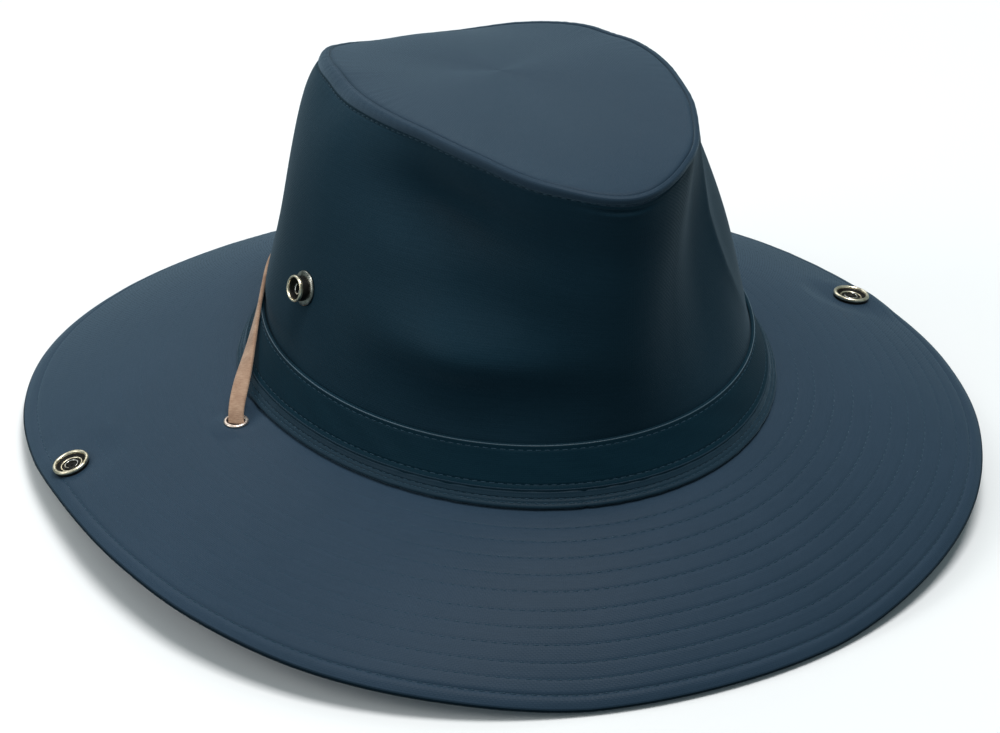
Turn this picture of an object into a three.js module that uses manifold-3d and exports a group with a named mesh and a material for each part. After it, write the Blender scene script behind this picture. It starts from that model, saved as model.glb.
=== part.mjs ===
// A cloth safari hat, resting on its brim. Millimetres, +Z up, front of the hat towards -Y,
// the surface that it rests on at z = 0. Angles run from the front, positive towards +X.
import * as THREE from "three";
import { mergeVertices } from "three/addons/utils/BufferGeometryUtils.js";
import Module from "manifold-3d";

const wasm = await Module();
wasm.setup();

// Driving dimensions
const SEGMENTS = 60;
const GAP = 0.3;
const SEAT_HEIGHT = 36; // the crown's foot above the surface the hat rests on
const BRIM_THICKNESS = 2.4;
const BRIM_FIRST_SLOPE = 0.6; // slope at the crown, as a share of the brim's mean slope
const BRIM_EDGE_ROUND = 0.7;
const CROWN_WALL = 1.6;
const TIP_DOME = 3.5;
const BAND_THICKNESS = 1.2;
const BAND_HEIGHT = 17.3;
const FOOT_STRIP_HEIGHT = 4.6;
const FOOT_STRIP_SHARE = 0.38; // how far in towards the band's top the strip's top has come

// Plan outlines, each two half ovals that share the side width. The back half is drawn in by
// the share "narrow" at its corners.
const FOOT_OUTLINE = { side: 86, front: 105.9, back: 90, shift: 0, narrow: 0.27 };
const BAND_TOP_OUTLINE = { side: 77.1, front: 89.6, back: 88, shift: -6, narrow: 0.08 };

// One row every 15 degrees from the front to the back; the other side is its mirror image.
// Reaches are from the hat's middle line, the tip's height is above the crown's foot.
// tipSkew is added to that height on the +X side and taken off on the other.
// belly swells the crown's side at mid height, and shoulder rounds it below the tip.
const COLUMNS = ["angle", "brimReach", "brimRise", "tipReach", "tipHeight", "tipSkew", "belly", "shoulder"];
const ROWS = [
  [0, 161.6, 0, 98, 101, 0, 0, 0.7],
  [15, 162, 0, 89.2, 104, 0, -2.5, 2],
  [30, 162.2, 4.2, 72.6, 105.8, 0, -4, 2.2],
  [45, 161.2, 8.2, 59.8, 105, 0, 0.3, 0.4],
  [60, 157.4, 11.6, 52.6, 103.4, 0, 2.8, 0.8],
  [75, 152.2, 12.4, 48.6, 101.6, 0, 2.3, 2],
  [90, 149.6, 10.8, 46.8, 99.6, 0, 3.9, 3],
  [105, 152, 7.2, 47, 97.2, -0.3, 5.2, 3.3],
  [120, 156.6, 4.2, 50.2, 95.2, -0.8, 4.2, 3.8],
  [135, 160.8, 1.8, 56.8, 91.2, -1.4, 2.4, 4.6],
  [150, 162.2, 0.3, 66, 85.6, -2, 2, 5],
  [165, 160.8, 0, 76.5, 77.8, -1.6, 2, 5],
  [180, 160, 0, 81.5, 74, 0, 2, 4.5],
];
const ROW_STEP = 15;
const SHOULDER_SCALE = 12.2; // brings the shoulder's curve to a height of 1

// Shares of the way out over the brim, up the crown's side and out over the tip
const BRIM_STEPS = [0, 0.13, 0.28, 0.43, 0.58, 0.73, 0.88];
const SIDE_STEPS = [0.12, 0.26, 0.42, 0.58, 0.72, 0.84, 0.93, 1];
const TIP_STEPS = [0.3, 0.6, 0.85, 1];

// Metal and strap
const SNAP = {
  angle: { left: 91.8, right: 97 },
  inFromEdge: { left: 16.5, right: 9.5 },
  ring: 12,
  cup: 6.4,
  floor: 0.8,
  post: 4.4,
  rise: 1.7,
  chamfer: { in: 0.8, down: 0.5 },
  cap: 11,
  capDepth: 1.1,
};
const STUD = {
  angle: { left: 100, right: 86.5 },
  height: 41.5,
  flange: 11.6,
  flangeDepth: 0.9,
  neck: 1.3,
  barrel: 6.8,
  ring: 8.4,
  ringDepth: 1.1,
  flare: 0.4,
  lip: 1.2,
  cupDepth: 2.4,
  rise: 5.6,
  post: 4,
  cap: 9.5,
  capDepth: 1,
};
const EYELET = {
  angle: { left: 104, right: 86.1 },
  outFromFoot: 8.5,
  flange: 7.8,
  sleeve: 6,
  hole: 5.3,
  lip: 0.7,
  chamfer: 0.5,
};
const LACE = { width: 5.2, thickness: 1.8, inEyelet: 4.6, offCrown: 1 };
const LACE_LANDING = { left: 136, right: 121 }; // angles where the lace meets the crown's side
const LACE_HEIGHT = 22; // its middle above the crown's foot, round the back
const LACE_WRAP_POINTS = 13;
const LACE_SPREADS = [4, 12]; // from its width in the eyelet to its own, by distance from there
const LACE_RISE = 1; // how far its free stretch bows up
const CHIN_LACE_DIAMETER = 3.4;
const CHIN_OVAL = { side: 106, front: 122, back: 122, shift: 0, narrow: 0, height: 1.9, from: 68, step: 17 };
const LACE_STEPS = 56;
const CHIN_STEPS = 60;

const CLOTH = { color: 0x2a3d52, roughness: 0.72, metalness: 0 };
const BAND_CLOTH = { color: 0x24384c, roughness: 0.7, metalness: 0 };
const ANTIQUE_BRASS = { color: 0x8d7a55, roughness: 0.35, metalness: 1 };
const COPPER = { color: 0xc49a84, roughness: 0.35, metalness: 1 };
const SUEDE = { color: 0xb28f7a, roughness: 0.85, metalness: 0 };

const radians = THREE.MathUtils.degToRad;
const turns = Array.from({ length: SEGMENTS }, (_, i) => (2 * Math.PI * i) / SEGMENTS);
const vec = (x, y, z) => new THREE.Vector3(x, y, z);
const group = new THREE.Group();

function add(name, geometry, finish) {
  const mesh = new THREE.Mesh(geometry, new THREE.MeshStandardMaterial(finish));
  mesh.name = name;
  group.add(mesh);
  return mesh;
}

// A column of ROWS at any angle, on a smooth curve through its rows
function column(name, turn) {
  const degrees = Math.abs(THREE.MathUtils.radToDeg(Math.atan2(Math.sin(turn), Math.cos(turn))));
  const last = ROWS.length - 1;
  const low = Math.min(Math.floor(degrees / ROW_STEP), last - 1);
  const at = (i) => ROWS[i < 0 ? -i : i > last ? 2 * last - i : i][COLUMNS.indexOf(name)];
  const u = degrees / ROW_STEP - low;
  const [a, b, c, d] = [at(low - 1), at(low), at(low + 1), at(low + 2)];
  return b + 0.5 * u * (c - a + u * (2 * a - 5 * b + 4 * c - d + u * (3 * (b - c) + d - a)));
}

function outline(plan, turn, z) {
  const length = Math.cos(turn) > 0 ? plan.front : plan.back;
  const drawnIn = Math.cos(turn) > 0 ? 0 : plan.narrow * Math.cos(turn) ** 2;
  return vec(plan.side * Math.sin(turn) * (1 - drawnIn), plan.shift - length * Math.cos(turn), z);
}

// The same curve moved in towards the middle, square to the curve in plan
function inset(curve, turn, distance) {
  const step = 0.01;
  const along = curve(turn + step).sub(curve(turn - step));
  const outward = vec(along.y, -along.x, 0).normalize();
  return curve(turn).addScaledVector(outward, -distance);
}

function ring(curve, distance = 0) {
  return turns.map((turn) => inset(curve, turn, distance));
}

// The outside of the band and its foot strip, height above the crown's foot
function bandOutside(height) {
  const share =
    height < FOOT_STRIP_HEIGHT
      ? (FOOT_STRIP_SHARE * height) / FOOT_STRIP_HEIGHT
      : THREE.MathUtils.mapLinear(height, FOOT_STRIP_HEIGHT, BAND_HEIGHT, FOOT_STRIP_SHARE, 1);
  const z = SEAT_HEIGHT + height;
  return (turn) => outline(FOOT_OUTLINE, turn, z).lerp(outline(BAND_TOP_OUTLINE, turn, z), share);
}

const underBand = BAND_THICKNESS + GAP;
const BAND_MIDDLE = (FOOT_STRIP_HEIGHT + BAND_HEIGHT) / 2;

function tipHeight(turn) {
  return column("tipHeight", turn) + column("tipSkew", turn) * Math.sign(Math.sin(turn));
}

function tipSeam(turn) {
  const reach = column("tipReach", turn);
  return vec(reach * Math.sin(turn), -reach * Math.cos(turn), SEAT_HEIGHT + tipHeight(turn));
}

// The outside of the crown's side, share 0 at the band's top and 1 at the tip
function crownSide(share) {
  const fromBand = (turn) => inset(bandOutside(BAND_HEIGHT), turn, underBand);
  const belly = Math.sin(Math.PI * share);
  const shoulder = SHOULDER_SCALE * share ** 4 * (1 - share);
  return (turn) => {
    const swell = column("belly", turn) * belly + column("shoulder", turn) * shoulder;
    const outward = vec(Math.sin(turn), -Math.cos(turn), 0);
    return fromBand(turn).lerp(tipSeam(turn), share).addScaledVector(outward, swell);
  };
}

function brimEdge(turn) {
  const reach = column("brimReach", turn);
  return vec(reach * Math.sin(turn), -reach * Math.cos(turn), Math.max(0, column("brimRise", turn)));
}

// The top of the brim, share 0 at the crown's foot and 1 at the edge
function brimTop(share) {
  const fall = BRIM_FIRST_SLOPE * share + (1 - BRIM_FIRST_SLOPE) * share * share;
  return (turn) => {
    const edge = brimEdge(turn);
    const point = outline(FOOT_OUTLINE, turn, SEAT_HEIGHT).lerp(edge, share);
    point.z = SEAT_HEIGHT + (edge.z + BRIM_THICKNESS - SEAT_HEIGHT) * fall;
    return point;
  };
}

// A closed body over a list of rings: joined last to first, or closed by a point at each end
function skin(rings, ends) {
  const count = rings[0].length;
  const points = rings.flat();
  const faces = [];
  const spans = ends ? rings.length - 1 : rings.length;
  for (let r = 0; r < spans; r++) {
    const here = r * count;
    const next = ((r + 1) % rings.length) * count;
    for (let i = 0; i < count; i++) {
      const j = (i + 1) % count;
      faces.push([here + i, here + j, next + j], [here + i, next + j, next + i]);
    }
  }
  if (ends) {
    const first = points.length;
    points.push(...ends);
    const tail = (rings.length - 1) * count;
    for (let i = 0; i < count; i++) {
      const j = (i + 1) % count;
      faces.push([first, j, i], [first + 1, tail + i, tail + j]);
    }
  }
  return bodyOf(points, faces);
}

// Faces are turned over if they point in
function bodyOf(points, faces) {
  const corner = ([a, b, c]) => points[a].dot(points[b].clone().cross(points[c]));
  const volume = faces.reduce((sum, face) => sum + corner(face), 0);
  const index = faces.flatMap(([a, b, c]) => (volume < 0 ? [a, c, b] : [a, b, c]));
  const geometry = new THREE.BufferGeometry().setFromPoints(points);
  geometry.setIndex(index);
  geometry.computeVertexNormals();
  return geometry;
}

function toSolid(geometry) {
  const bare = geometry.clone();
  bare.deleteAttribute("normal");
  bare.deleteAttribute("uv");
  const merged = mergeVertices(bare, 1e-4);
  const mesh = new wasm.Mesh({
    numProp: 3,
    vertProperties: Float32Array.from(merged.attributes.position.array),
    triVerts: Uint32Array.from(merged.index.array),
  });
  return new wasm.Manifold(mesh);
}

function toGeometry(solid) {
  const mesh = solid.getMesh();
  const geometry = new THREE.BufferGeometry();
  geometry.setAttribute("position", new THREE.BufferAttribute(Float32Array.from(mesh.vertProperties), 3));
  geometry.setIndex(Array.from(mesh.triVerts));
  geometry.computeVertexNormals();
  return geometry;
}

// Round holes, each { at, axis, diameter }, drilled right through a wall
function drill(geometry, holes) {
  const reach = 12;
  const solid = holes.reduce((left, hole) => {
    const cutter = new THREE.CylinderGeometry(hole.diameter / 2, hole.diameter / 2, reach, 12);
    cutter.applyQuaternion(new THREE.Quaternion().setFromUnitVectors(vec(0, 1, 0), hole.axis));
    cutter.translate(hole.at.x, hole.at.y, hole.at.z);
    return left.subtract(toSolid(cutter));
  }, toSolid(geometry));
  return toGeometry(solid);
}

// Where a fitting sits: its point and the wall's normal there, on the side away from the
// middle of the hat's foot
function seatOf(surface, share, turn) {
  const step = 0.01;
  const at = surface(share)(turn);
  const around = surface(share)(turn + step).sub(surface(share)(turn - step));
  const across = surface(share + step)(turn).sub(surface(share - step)(turn));
  const axis = around.cross(across).normalize();
  return { at, axis: axis.dot(at) < 0 ? axis.negate() : axis };
}

// The wearer's left is towards +X
const SIDES = [
  { name: "left", sign: 1 },
  { name: "right", sign: -1 },
];

function snapSeat({ name, sign }) {
  const turn = sign * radians(SNAP.angle[name]);
  const width = brimTop(1)(turn).distanceTo(brimTop(0)(turn));
  return seatOf(brimTop, 1 - SNAP.inFromEdge[name] / width, turn);
}

function studSeat({ name, sign }) {
  const turn = sign * radians(STUD.angle[name]);
  const share = (STUD.height - BAND_HEIGHT) / (tipHeight(turn) - BAND_HEIGHT);
  return seatOf(crownSide, share, turn);
}

function eyeletSeat({ name, sign }) {
  const turn = sign * radians(EYELET.angle[name]);
  const width = brimTop(1)(turn).distanceTo(brimTop(0)(turn));
  return seatOf(brimTop, EYELET.outFromFoot / width, turn);
}

function brim() {
  const hole = ring((turn) => outline(FOOT_OUTLINE, turn, SEAT_HEIGHT), 2 * underBand + CROWN_WALL - GAP);
  const upper = BRIM_STEPS.map((share) => ring(brimTop(share)));
  const under = (points) => points.map((p) => vec(p.x, p.y, p.z - BRIM_THICKNESS));
  const lower = BRIM_STEPS.map((share) => under(ring(brimTop(share))));
  const rim = [1, 0.5, 0].map((level) => {
    const round = level === 0.5 ? 0 : BRIM_EDGE_ROUND;
    return ring(brimEdge, round).map((p) => vec(p.x, p.y, p.z + level * BRIM_THICKNESS));
  });
  const body = skin([hole, ...upper, ...rim, ...lower.reverse(), under(hole)]);
  const holes = SIDES.flatMap((side) => [
    { ...snapSeat(side), diameter: SNAP.post + 2 * GAP },
    { ...eyeletSeat(side), diameter: EYELET.sleeve + 2 * GAP },
  ]);
  add("brim", drill(body, holes), CLOTH);
}

function crown() {
  const foot = [GAP, FOOT_STRIP_HEIGHT, BAND_MIDDLE, BAND_HEIGHT];
  const outside = [
    ...foot.map((height) => ring(bandOutside(height), underBand)),
    ...SIDE_STEPS.map((share) => ring(crownSide(share))),
  ];
  const inside = [
    ...foot.map((height) => ring(bandOutside(height), underBand + CROWN_WALL)),
    ...SIDE_STEPS.map((share) => ring(crownSide(share), CROWN_WALL)),
  ];
  const body = skin([...outside, ...inside.reverse()]);
  const holes = SIDES.map((side) => ({ ...studSeat(side), diameter: STUD.post + 2 * GAP }));
  add("crown_side", drill(body, holes), CLOTH);
}

// The top panel, held by its edge inside the side wall's top
function crownTip() {
  const middle = turns.map(tipSeam).reduce((sum, p) => sum.add(p), vec(0, 0, 0)).divideScalar(SEGMENTS);
  const rimCurve = (turn) => inset(tipSeam, turn, CROWN_WALL + GAP);
  const surface = (share, drop) =>
    turns.map((turn) => {
      const point = middle.clone().lerp(rimCurve(turn), share);
      point.z += TIP_DOME * (1 - share ** 3) - drop;
      return point;
    });
  const upper = TIP_STEPS.map((share) => surface(share, 0));
  const lower = TIP_STEPS.map((share) => surface(share, CROWN_WALL)).reverse();
  const peak = middle.clone().add(vec(0, 0, TIP_DOME));
  add("crown_tip", skin([...upper, ...lower], [peak, peak.clone().sub(vec(0, 0, CROWN_WALL))]), CLOTH);
}

function wrap(name, heights, finish) {
  const outside = heights.map((height) => ring(bandOutside(height)));
  const inside = heights.map((height) => ring(bandOutside(height), BAND_THICKNESS)).reverse();
  add(name, skin([...outside, ...inside]), finish);
}

function turned(profile, sides, { at, axis }) {
  const points = profile.map(([radius, height]) => new THREE.Vector2(radius, height));
  const geometry = new THREE.LatheGeometry(points, sides);
  geometry.applyQuaternion(new THREE.Quaternion().setFromUnitVectors(vec(0, 1, 0), axis));
  geometry.translate(at.x, at.y, at.z);
  return geometry;
}

// A ring with a sunk cup on the brim, its post through the cloth and a round cap below
function brimSnap(name, side) {
  const under = -BRIM_THICKNESS - GAP;
  const profile = [
    [0, under - SNAP.capDepth],
    [SNAP.cap / 2, under - SNAP.capDepth],
    [SNAP.cap / 2, under],
    [SNAP.post / 2, under],
    [SNAP.post / 2, GAP],
    [SNAP.ring / 2, GAP],
    [SNAP.ring / 2, SNAP.rise - SNAP.chamfer.down],
    [SNAP.ring / 2 - SNAP.chamfer.in, SNAP.rise],
    [SNAP.cup / 2, SNAP.rise],
    [SNAP.cup / 2, SNAP.floor],
    [0, SNAP.floor],
  ];
  add(name, turned(profile, 16, snapSeat(side)), ANTIQUE_BRASS);
}

// A flange on the crown, a short barrel and the ring at its end, held by a cap inside
function crownStud(name, side) {
  const inner = -CROWN_WALL - 2 * GAP;
  const profile = [
    [0, inner - STUD.capDepth],
    [STUD.cap / 2, inner - STUD.capDepth],
    [STUD.cap / 2, inner],
    [STUD.post / 2, inner],
    [STUD.post / 2, GAP],
    [STUD.flange / 2, GAP],
    [STUD.flange / 2, GAP + STUD.flangeDepth],
    [STUD.barrel / 2, GAP + STUD.neck],
    [STUD.barrel / 2, STUD.rise - STUD.ringDepth - STUD.flare],
    [STUD.ring / 2, STUD.rise - STUD.ringDepth],
    [STUD.ring / 2, STUD.rise],
    [STUD.ring / 2 - STUD.lip, STUD.rise],
    [STUD.ring / 2 - STUD.lip, STUD.rise - STUD.cupDepth],
    [0, STUD.rise - STUD.cupDepth],
  ];
  add(name, turned(profile, 14, studSeat(side)), ANTIQUE_BRASS);
}

function eyelet(name, side) {
  const [hole, sleeve, flange] = [EYELET.hole / 2, EYELET.sleeve / 2, EYELET.flange / 2];
  const under = -BRIM_THICKNESS - GAP;
  const profile = [
    [hole, under - EYELET.lip],
    [flange, under - EYELET.lip],
    [flange, under],
    [sleeve, under],
    [sleeve, GAP],
    [flange, GAP],
    [flange - EYELET.chamfer, GAP + EYELET.lip],
    [hole, GAP + EYELET.lip],
    [hole, under - EYELET.lip],
  ];
  add(name, turned(profile, 14, eyeletSeat(side)), COPPER);
}

// The lace's landing angle on the crown, counted from the front over the wearer's left
const landingOf = ({ name, sign }) => (sign > 0 ? LACE_LANDING[name] : 360 - LACE_LANDING[name]);

// The lace from one eyelet round the back of the crown to the other, face flat to the crown
function laceRoute() {
  const clear = LACE.thickness / 2 + LACE.offCrown;
  const onCrown = (degrees) => {
    const turn = radians(degrees);
    const share = (LACE_HEIGHT - BAND_HEIGHT) / (tipHeight(turn) - BAND_HEIGHT);
    return inset(crownSide(share), turn, -clear);
  };
  const rise = (side) => {
    const { at, axis } = eyeletSeat(side);
    const start = at.clone().addScaledVector(axis, -BRIM_THICKNESS / 2 + GAP / 2);
    const above = at.clone().addScaledVector(axis, 3);
    const landing = onCrown(landingOf(side));
    const middle = above.clone().lerp(landing, 0.5).add(vec(0, 0, LACE_RISE));
    return [start, above, middle];
  };
  const [left, right] = SIDES;
  const [from, to] = [landingOf(left), landingOf(right)];
  const step = (to - from) / (LACE_WRAP_POINTS - 1);
  const wrapped = Array.from({ length: LACE_WRAP_POINTS }, (_, i) => onCrown(from + step * i));
  return new THREE.CatmullRomCurve3([...rise(left), ...wrapped, ...rise(right).reverse()]);
}

function strapOver() {
  const route = laceRoute();
  const total = route.getLength();
  const corners = [
    [-1, -0.4], [-0.7, -1], [0.7, -1], [1, -0.4],
    [1, 0.4], [0.7, 1], [-0.7, 1], [-1, 0.4],
  ];
  const rings = [];
  for (let i = 0; i <= LACE_STEPS; i++) {
    const share = i / LACE_STEPS;
    const at = route.getPointAt(share);
    const along = route.getTangentAt(share);
    const outward = vec(at.x, at.y, 0).normalize();
    const across = along.clone().cross(outward).normalize();
    const face = across.clone().cross(along).normalize();
    const fromEyelet = Math.min(share, 1 - share) * total;
    const spread = THREE.MathUtils.smoothstep(fromEyelet, ...LACE_SPREADS);
    const width = THREE.MathUtils.lerp(LACE.inEyelet, LACE.width, spread);
    rings.push(
      corners.map(([u, v]) =>
        at.clone().addScaledVector(across, (u * width) / 2).addScaledVector(face, (v * LACE.thickness) / 2),
      ),
    );
  }
  const ends = [route.getPointAt(0), route.getPointAt(1)];
  add("strap_over", skin(rings, ends), SUEDE);
}

// The chin loop hangs from the eyelets and lies on the surface under the brim, on a half
// oval round the front. Drops are how far out, back and up its points are from the eyelet's foot.
const CHIN_DROPS = [
  { out: 3.5, back: -1.5, z: 17 },
  { out: 7, back: -7, z: 7.2 },
  { out: 9.5, back: -19, z: 3.5 },
];

function chinLoop() {
  const fall = (side) => {
    const { at, axis } = eyeletSeat(side);
    const depths = [-BRIM_THICKNESS / 2 - GAP / 2, -BRIM_THICKNESS - 4];
    const through = depths.map((depth) => at.clone().addScaledVector(axis, depth));
    const drops = CHIN_DROPS.map(({ out, back, z }) => vec(at.x + side.sign * out, at.y + back, z));
    return [...through, ...drops];
  };
  const [left, right] = SIDES;
  const lying = [];
  for (let degrees = CHIN_OVAL.from; degrees >= -CHIN_OVAL.from; degrees -= CHIN_OVAL.step) {
    lying.push(outline(CHIN_OVAL, radians(degrees), CHIN_OVAL.height));
  }
  const route = new THREE.CatmullRomCurve3([...fall(left), ...lying, ...fall(right).reverse()]);
  const section = new THREE.Shape(
    Array.from({ length: 8 }, (_, i) => {
      const turn = ((i + 0.5) * Math.PI) / 4;
      return new THREE.Vector2(Math.cos(turn), Math.sin(turn)).multiplyScalar(CHIN_LACE_DIAMETER / 2);
    }),
  );
  const tube = new THREE.ExtrudeGeometry(section, { steps: CHIN_STEPS, extrudePath: route });
  add("chin_loop", tube, SUEDE);
}

brim();
crown();
crownTip();
wrap("foot_strip", [GAP, FOOT_STRIP_HEIGHT - GAP / 2], CLOTH);
wrap("hat_band", [FOOT_STRIP_HEIGHT + GAP / 2, BAND_MIDDLE, BAND_HEIGHT], BAND_CLOTH);
for (const side of SIDES) {
  brimSnap(`brim_snap_${side.name}`, side);
  crownStud(`crown_stud_${side.name}`, side);
  eyelet(`eyelet_${side.name}`, side);
}
strapOver();
chinLoop();

export default group;
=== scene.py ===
"""A navy cloth safari hat resting on its brim. Forms are worked out in millimetres, front of
the hat towards -Y, angles counted from the front and positive towards +X, and are turned
into metres where a mesh is made."""
import math

import bpy
import numpy as np
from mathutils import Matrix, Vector


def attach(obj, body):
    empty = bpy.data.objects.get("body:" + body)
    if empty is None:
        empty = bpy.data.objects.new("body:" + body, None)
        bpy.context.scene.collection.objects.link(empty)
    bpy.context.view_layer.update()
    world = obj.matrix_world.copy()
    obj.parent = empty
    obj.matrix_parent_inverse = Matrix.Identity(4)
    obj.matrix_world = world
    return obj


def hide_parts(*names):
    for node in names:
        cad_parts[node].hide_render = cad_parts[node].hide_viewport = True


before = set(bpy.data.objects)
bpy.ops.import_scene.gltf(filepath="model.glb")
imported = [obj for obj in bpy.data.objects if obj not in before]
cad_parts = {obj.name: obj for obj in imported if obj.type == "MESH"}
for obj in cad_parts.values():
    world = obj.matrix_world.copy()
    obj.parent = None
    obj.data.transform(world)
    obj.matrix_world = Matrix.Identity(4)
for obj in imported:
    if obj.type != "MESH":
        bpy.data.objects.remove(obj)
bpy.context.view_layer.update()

MM = 0.001

# Driving dimensions, the same as in the solids
SEGMENTS = 60
GAP = 0.3
SEAT_HEIGHT = 36  # the crown's foot above the surface the hat rests on
BRIM_THICKNESS = 2.4
BRIM_FIRST_SLOPE = 0.6  # at the crown, as a share of its mean slope
CROWN_WALL = 1.6
TIP_DOME = 3.5
BAND_THICKNESS = 1.2
BAND_HEIGHT = 17.3
FOOT_STRIP_HEIGHT = 4.6
FOOT_STRIP_SHARE = 0.38  # how far in to the band's top outline its top is
# Plan outlines of two half ovals; the back one's corners are drawn in by the share "narrow"
FOOT_OUTLINE = {"side": 86, "front": 105.9, "back": 90, "shift": 0, "narrow": 0.27}
BAND_TOP_OUTLINE = {"side": 77.1, "front": 89.6, "back": 88, "shift": -6, "narrow": 0.08}

# tip_height is above the crown's foot; tip_skew is added on the +X side, taken off on the other
COLUMNS = ("angle", "brim_reach", "brim_rise", "tip_reach", "tip_height", "tip_skew", "belly", "shoulder")
ROWS = [
    (0, 161.6, 0, 98, 101, 0, 0, 0.7),
    (15, 162, 0, 89.2, 104, 0, -2.5, 2),
    (30, 162.2, 4.2, 72.6, 105.8, 0, -4, 2.2),
    (45, 161.2, 8.2, 59.8, 105, 0, 0.3, 0.4),
    (60, 157.4, 11.6, 52.6, 103.4, 0, 2.8, 0.8),
    (75, 152.2, 12.4, 48.6, 101.6, 0, 2.3, 2),
    (90, 149.6, 10.8, 46.8, 99.6, 0, 3.9, 3),
    (105, 152, 7.2, 47, 97.2, -0.3, 5.2, 3.3),
    (120, 156.6, 4.2, 50.2, 95.2, -0.8, 4.2, 3.8),
    (135, 160.8, 1.8, 56.8, 91.2, -1.4, 2.4, 4.6),
    (150, 162.2, 0.3, 66, 85.6, -2, 2, 5),
    (165, 160.8, 0, 76.5, 77.8, -1.6, 2, 5),
    (180, 160, 0, 81.5, 74, 0, 2, 4.5),
]
ROW_STEP = 15
SHOULDER_SCALE = 12.2  # makes that curve 1 high

SNAP = {"angle": {"left": 91.8, "right": 97}, "in_from_edge": {"left": 16.5, "right": 9.5}}
STUD = {"angle": {"left": 100, "right": 86.5}, "height": 41.5}
EYELET = {"angle": {"left": 104, "right": 86.1}, "out_from_foot": 8.5}
SIDES = {"left": 1, "right": -1}

LACE = {"width": 5.2, "thickness": 1.8}
LACE_LANDING = {"left": 136, "right": 121}  # angles where it meets the crown
LACE_HEIGHT = 22  # above the crown's foot
LACE_WRAP_POINTS = 39
CHIN_OVAL = {
    "side": 106, "front": 122, "back": 122, "shift": 0, "narrow": 0, "height": 1.9, "from": 68, "step": 17,
}
# Where the chin loop comes down: outwards and back from its eyelet, and height
CHIN_DROPS = [(3.5, -1.5, 17), (7, -7, 7.2), (9.5, -19, 3.5)]

AROUND = 480  # points round the hat
ROUND = np.arange(AROUND) * 2 * math.pi / AROUND
TURNS = ROUND[:, None]
SLOPE_STEP = 0.01  # in radians or shares
UNDER_BAND = BAND_THICKNESS + GAP


def xyz(x, y, z):
    return np.stack(np.broadcast_arrays(x, y, z), axis=-1).astype(float)


def unit(v):
    return v / np.linalg.norm(v, axis=-1, keepdims=True)


def blend(a, b, share):
    return a + (b - a) * np.asarray(share)[..., None]


def smooth(x, low, high):
    u = np.clip((np.asarray(x, float) - low) / (high - low), 0, 1)
    return u * u * (3 - 2 * u)


def bell(x, middle, width):
    return np.exp(-(((x - middle) / width) ** 2))


def bells(x, forms):
    return sum(out * bell(x, middle, width) for middle, width, out in forms)


def degrees_of(turn):
    return np.degrees(np.arctan2(np.sin(turn), np.cos(turn)))


def on_every_turn(shares):
    return np.broadcast_to(shares, (AROUND, len(shares)))


def column(name, turn):
    """A column of ROWS at any angle, on a smooth curve through its rows."""
    half = [row[COLUMNS.index(name)] for row in ROWS]
    around = np.array(half + half[-2:0:-1], float)
    position = (np.degrees(turn) % 360) / ROW_STEP
    low = np.floor(position).astype(int)
    u = position - low
    a, b, c, d = (around[(low + k) % len(around)] for k in (-1, 0, 1, 2))
    return b + 0.5 * u * (c - a + u * (2 * a - 5 * b + 4 * c - d + u * (3 * (b - c) + d - a)))


def outline(plan, turn, z):
    forward = np.cos(turn) > 0
    length = np.where(forward, plan["front"], plan["back"])
    drawn_in = np.where(forward, 0, plan["narrow"] * np.cos(turn) ** 2)
    return xyz(plan["side"] * np.sin(turn) * (1 - drawn_in), plan["shift"] - length * np.cos(turn), z)


def inset(curve, turn, distance):
    """The same curve moved in, square to itself in plan."""
    along = curve(turn + SLOPE_STEP) - curve(turn - SLOPE_STEP)
    outward = unit(xyz(along[..., 1], -along[..., 0], 0 * along[..., 0]))
    return curve(turn) - outward * np.asarray(distance)[..., None]


def band_outside(turn, height):
    """The outside of the band and the foot strip, at a height above the crown's foot."""
    height = np.asarray(height, float)
    low = FOOT_STRIP_SHARE * height / FOOT_STRIP_HEIGHT
    up_band = (height - FOOT_STRIP_HEIGHT) / (BAND_HEIGHT - FOOT_STRIP_HEIGHT)
    high = FOOT_STRIP_SHARE + (1 - FOOT_STRIP_SHARE) * up_band
    share = np.where(height < FOOT_STRIP_HEIGHT, low, high)
    z = SEAT_HEIGHT + height
    share = np.broadcast_to(share, np.broadcast(turn, share).shape)
    return blend(outline(FOOT_OUTLINE, turn, z), outline(BAND_TOP_OUTLINE, turn, z), share)


def tip_height(turn):
    return column("tip_height", turn) + column("tip_skew", turn) * np.sign(np.sin(turn))


def tip_seam(turn):
    reach = column("tip_reach", turn)
    return xyz(reach * np.sin(turn), -reach * np.cos(turn), SEAT_HEIGHT + tip_height(turn))


def crown_side(turn, share):
    """The outside of the crown's side, share 0 at the band's top and 1 at the tip."""
    share = np.asarray(share, float)
    foot = inset(lambda t: band_outside(t, BAND_HEIGHT), turn, UNDER_BAND)
    shoulder = SHOULDER_SCALE * share**4 * (1 - share)
    swell = column("belly", turn) * np.sin(math.pi * share) + column("shoulder", turn) * shoulder
    share = np.broadcast_to(share, swell.shape)
    return blend(foot, tip_seam(turn), share) + xyz(np.sin(turn), -np.cos(turn), 0) * swell[..., None]


def side_length(turn):
    return np.linalg.norm(crown_side(turn, 1) - crown_side(turn, 0), axis=-1)


def brim_edge(turn):
    reach = column("brim_reach", turn)
    return xyz(reach * np.sin(turn), -reach * np.cos(turn), np.maximum(0, column("brim_rise", turn)))


def brim_top(turn, share):
    """The top of the brim, share 0 at the crown's foot and 1 at the edge."""
    share = np.asarray(share, float)
    out = np.maximum(share, 0)
    fall = BRIM_FIRST_SLOPE * out + (1 - BRIM_FIRST_SLOPE) * out * out
    edge = brim_edge(turn)
    shape = np.broadcast(turn, share).shape
    point = blend(outline(FOOT_OUTLINE, turn, SEAT_HEIGHT), edge, np.broadcast_to(share, shape))
    point[..., 2] = SEAT_HEIGHT + (edge[..., 2] + BRIM_THICKNESS - SEAT_HEIGHT) * fall
    return point


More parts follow.
